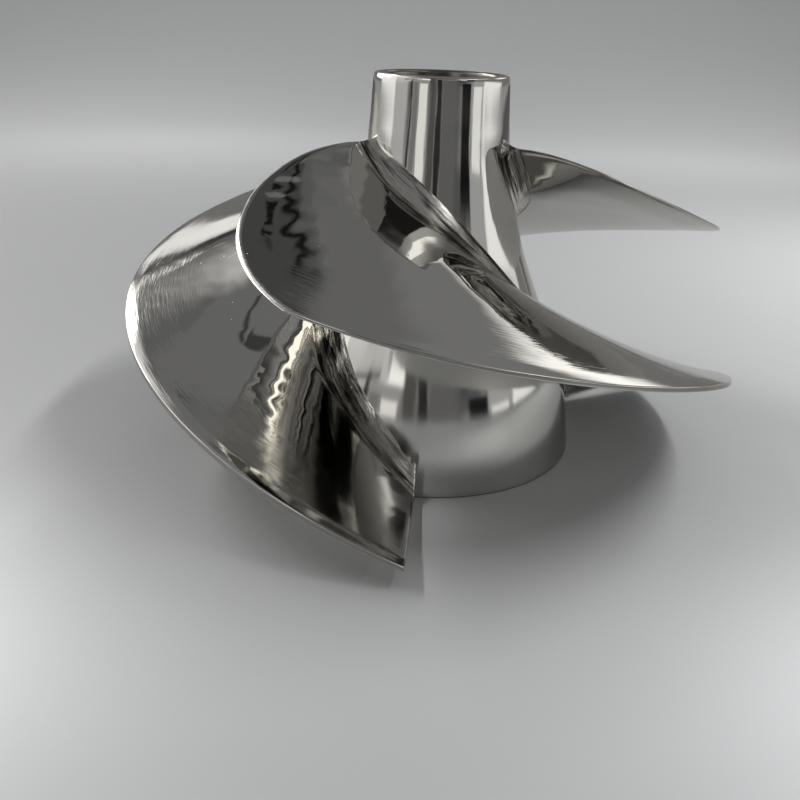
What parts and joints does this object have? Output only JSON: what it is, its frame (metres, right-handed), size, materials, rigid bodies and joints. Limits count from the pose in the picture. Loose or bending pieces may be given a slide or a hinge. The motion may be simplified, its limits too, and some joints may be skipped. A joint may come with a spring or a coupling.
{
  "type": "personal watercraft impeller",
  "caption": "Jet pump impeller cast in one piece: a flared hollow hub with a bored neck, wrapped by wide swept blades with sharp leading edges.",
  "frame": {"origin": "on the pump axis, in the plane of the hub's wide rear face", "axes": "+Z along the pump axis from the wide rear face to the neck; the blades reach the same radius all round"},
  "size_m": [0.159, 0.1589, 0.0964],
  "materials": {
    "polished_stainless_steel": "mirror polished"
  },
  "bodies": {
    "root": {"impeller_casting": "polished_stainless_steel"}
  },
  "joints": []
}
